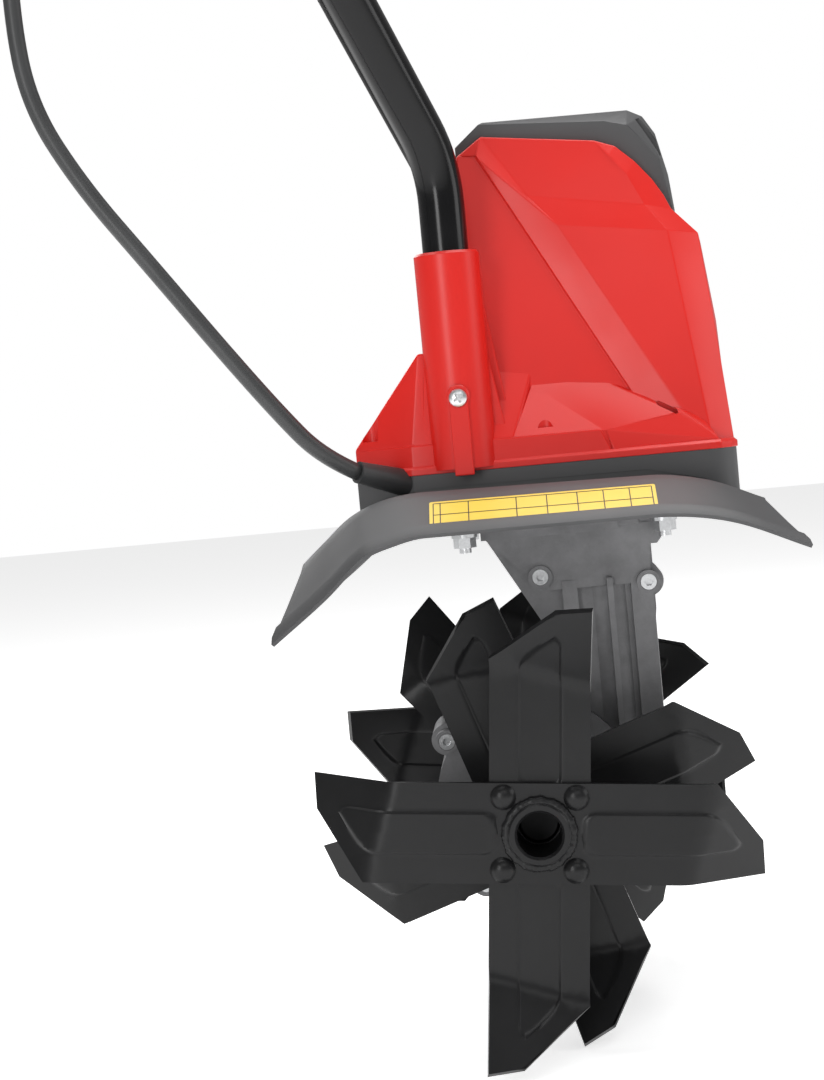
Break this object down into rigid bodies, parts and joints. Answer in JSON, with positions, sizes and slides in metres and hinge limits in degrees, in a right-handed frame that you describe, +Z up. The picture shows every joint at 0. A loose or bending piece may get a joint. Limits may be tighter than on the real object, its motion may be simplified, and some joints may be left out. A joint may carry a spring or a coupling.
{
  "type": "electric garden tiller",
  "caption": "Corded electric garden tiller with star tines on a worm-drive axle, splash guard, motor housing and a folding U-shaped handle.",
  "frame": {"origin": "centre of the tine axle, on the middle plane of the machine", "axes": "+X the way the tiller drives, +Y to its left along the tine axle, +Z up"},
  "size_m": [0.4533, 0.465, 1.0818],
  "materials": {
    "tine_black": "satin black paint",
    "shaft_steel": "machined",
    "zinc": "zinc plated",
    "cast_alloy": "as cast",
    "gasket": "matte",
    "black_plastic": "fine texture",
    "red_plastic": "satin",
    "label": "glossy sticker",
    "tube_black": "gloss powder coat",
    "foam": "matte foam",
    "cord": "matte",
    "copper": "enamelled",
    "laminate": "varnished",
    "bronze": "machined",
    "carbon": "matte"
  },
  "bodies": {
    "root": {"base_housing": "black_plastic", "motor_cover": "red_plastic", "vent_cap": "black_plastic", "guard": "black_plastic", "warning_label": "label", "gearbox_right": "cast_alloy", "gearbox_left": "cast_alloy", "gearbox_gasket": "gasket", "gearbox_screws": "zinc", "deck_bolts": "zinc", "deck_nuts": "zinc", "stator_core": "laminate", "field_coils": "copper", "motor_plate": "cast_alloy", "motor_bridge": "black_plastic", "brush_holders": "bronze", "carbon_brushes": "carbon", "motor_bearings": "shaft_steel", "worm_bearings": "shaft_steel", "shaft_bearings": "shaft_steel", "lip_seals": "cord", "lower_tube_right": "tube_black", "lower_tube_left": "tube_black", "socket_screws": "zinc", "clamp_bolts": "zinc", "pivot_washers": "black_plastic", "cord_gland": "cord", "cord_lower": "cord"},
    "tines": {"tine_shaft": "shaft_steel", "wheel_key": "shaft_steel", "shaft_circlips": "shaft_steel", "worm_wheel": "bronze", "hub_right": "tine_black", "hub_left": "tine_black", "hub_pins": "zinc", "tine_star_right_outer": "tine_black", "tine_star_right_inner": "tine_black", "tine_star_left_inner": "tine_black", "tine_star_left_outer": "tine_black", "tine_rivets": "tine_black"},
    "rotor": {"worm_shaft": "shaft_steel", "drive_coupling": "shaft_steel", "motor_shaft": "shaft_steel", "armature_core": "laminate", "armature_windings": "copper", "commutator": "copper", "cooling_fan": "black_plastic"},
    "handle": {"upper_handle": "tube_black", "hand_grips": "foam", "switch_box_front": "black_plastic", "switch_box_back": "black_plastic", "micro_switch": "black_plastic", "power_inlet": "black_plastic", "cord_boot_upper": "cord", "cord_upper": "cord", "cord_clip": "black_plastic"},
    "lever": {"switch_lever": "tube_black"},
    "button": {"lock_button": "red_plastic"},
    "right_knob": {"star_knob_right": "black_plastic"},
    "left_knob": {"star_knob_left": "black_plastic"}
  },
  "joints": [
    {"name": "tine_spin", "type": "hinge", "parent": "root", "child": "tines", "pos_m": [0, 0, 0], "axis": [0, 1, 0], "continuous": true},
    {"name": "rotor_spin", "type": "hinge", "parent": "root", "child": "rotor", "pos_m": [0.045, 0, 0.2], "axis": [0, 0, 1], "continuous": true},
    {"name": "handle_fold", "type": "hinge", "parent": "root", "child": "handle", "pos_m": [-0.1732, 0, 0.665], "axis": [0, 1, 0], "range_deg": [0, 130]},
    {"name": "lever_press", "type": "hinge", "parent": "handle", "child": "lever", "pos_m": [-0.26704, 0, 0.90862], "axis": [0, -1, 0], "range_deg": [0, 20], "stiffness_Nm_per_rad": 1, "springref_deg": -11.46},
    {"name": "lock_press", "type": "slide", "parent": "handle", "child": "button", "axis": [0.9157, 0, 0.4019], "range_m": [0, 0.004], "stiffness_N_per_m": 300, "springref_m": -0.004},
    {"name": "right_knob_turn", "type": "hinge", "parent": "root", "child": "right_knob", "pos_m": [-0.1732, 0, 0.665], "axis": [0, -1, 0], "range_deg": [0, 720]},
    {"name": "left_knob_turn", "type": "hinge", "parent": "root", "child": "left_knob", "pos_m": [-0.1732, 0, 0.665], "axis": [0, 1, 0], "range_deg": [0, 720]}
  ],
  "couplings": [
    {"joint": "rotor_spin", "follows": "tine_spin", "ratio": 35}
  ]
}
